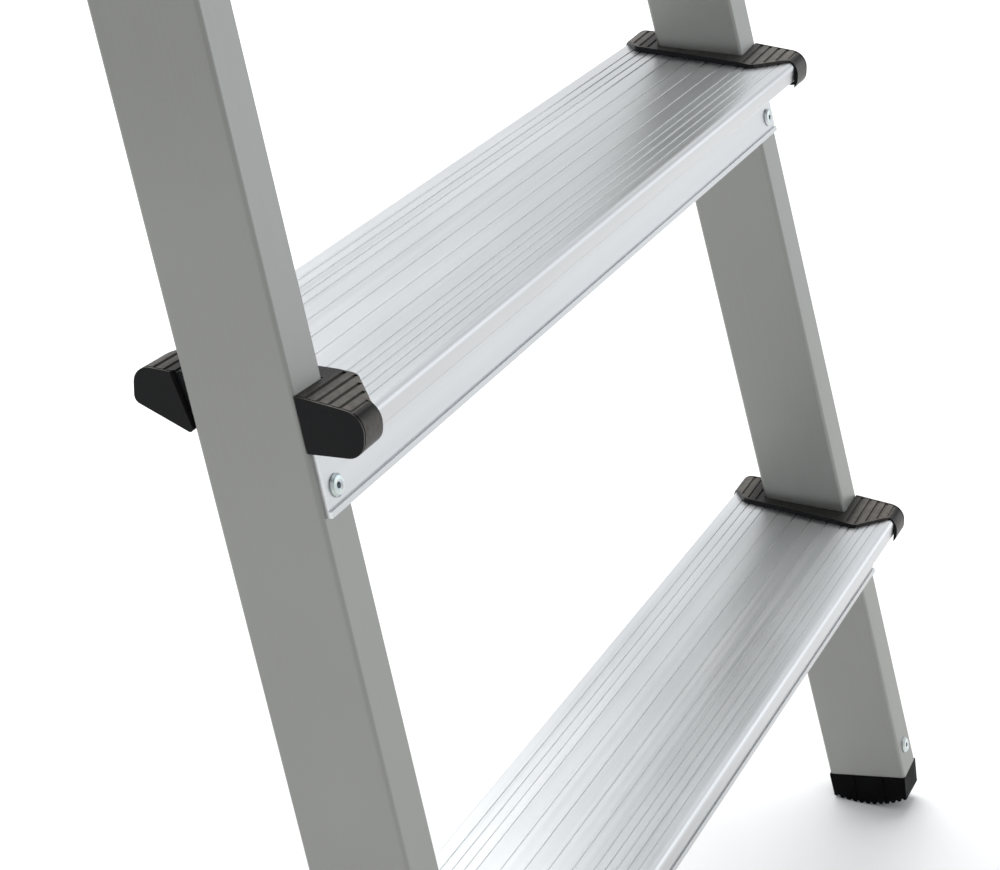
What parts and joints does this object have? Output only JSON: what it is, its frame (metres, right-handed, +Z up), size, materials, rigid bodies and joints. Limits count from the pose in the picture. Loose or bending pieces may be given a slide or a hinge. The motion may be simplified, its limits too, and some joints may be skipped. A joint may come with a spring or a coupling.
{
  "type": "folding stepladder",
  "caption": "Folding household stepladder with flaring tube stiles, grooved treads with black end caps, a lifting platform and a tool tray.",
  "frame": {"origin": "on the floor, at the middle of the whole stepladder's footprint", "axes": "+Z up, X across the ladder, the climbing side faces -Y and the rear frame stands at +Y"},
  "size_m": [0.4838, 0.7496, 1.685],
  "materials": {
    "satin_aluminium": "satin grey, anodised",
    "mill_aluminium": "bright extruded, fine lines along the length",
    "black_plastic": "moulded, fine grain",
    "foot_rubber": "matt",
    "zinc_steel": "zinc plated",
    "white_nylon": "smooth"
  },
  "bodies": {
    "front_frame": {"stile_left": "satin_aluminium", "stile_right": "satin_aluminium", "tread_1": "mill_aluminium", "tread_2": "mill_aluminium", "tread_3": "mill_aluminium", "tread_4": "mill_aluminium", "cap_1_left": "black_plastic", "cap_1_right": "black_plastic", "cap_2_left": "black_plastic", "cap_2_right": "black_plastic", "cap_3_left": "black_plastic", "cap_3_right": "black_plastic", "cap_4_left": "black_plastic", "cap_4_right": "black_plastic", "tread_rivets": "zinc_steel", "front_foot_left": "foot_rubber", "front_foot_right": "foot_rubber", "foot_rivets": "zinc_steel", "hinge_bracket_left": "zinc_steel", "hinge_bracket_right": "zinc_steel", "hinge_rivets": "zinc_steel", "hinge_pins": "zinc_steel", "hinge_washers": "white_nylon", "platform_bolts": "zinc_steel", "platform_nuts": "zinc_steel", "platform_spacers": "white_nylon", "top_tray": "black_plastic", "tray_screws": "zinc_steel"},
    "rear_frame": {"rear_head_left": "black_plastic", "rear_head_right": "black_plastic", "rear_leg_left": "satin_aluminium", "rear_leg_right": "satin_aluminium", "rear_top_bar": "satin_aluminium", "rear_crossbar_1": "satin_aluminium", "rear_crossbar_2": "satin_aluminium", "rear_crossbar_3": "satin_aluminium", "rear_rivets": "zinc_steel", "rear_foot_left": "foot_rubber", "rear_foot_right": "foot_rubber"},
    "platform": {"platform_deck": "mill_aluminium", "platform_side_left": "black_plastic", "platform_side_right": "black_plastic", "platform_rivets": "zinc_steel"}
  },
  "joints": [
    {"name": "rear_fold", "type": "hinge", "parent": "front_frame", "child": "rear_frame", "pos_m": [0, 0.00639, 1.164], "axis": [-1, 0, 0], "range_deg": [0, 31.5]},
    {"name": "platform_lift", "type": "hinge", "parent": "front_frame", "child": "platform", "pos_m": [0, -0.08318, 1.0542], "axis": [1, 0, 0], "range_deg": [0, 75.3]}
  ],
  "couplings": [
    {"joint": "platform_lift", "follows": "rear_fold", "ratio": 2.387}
  ]
}
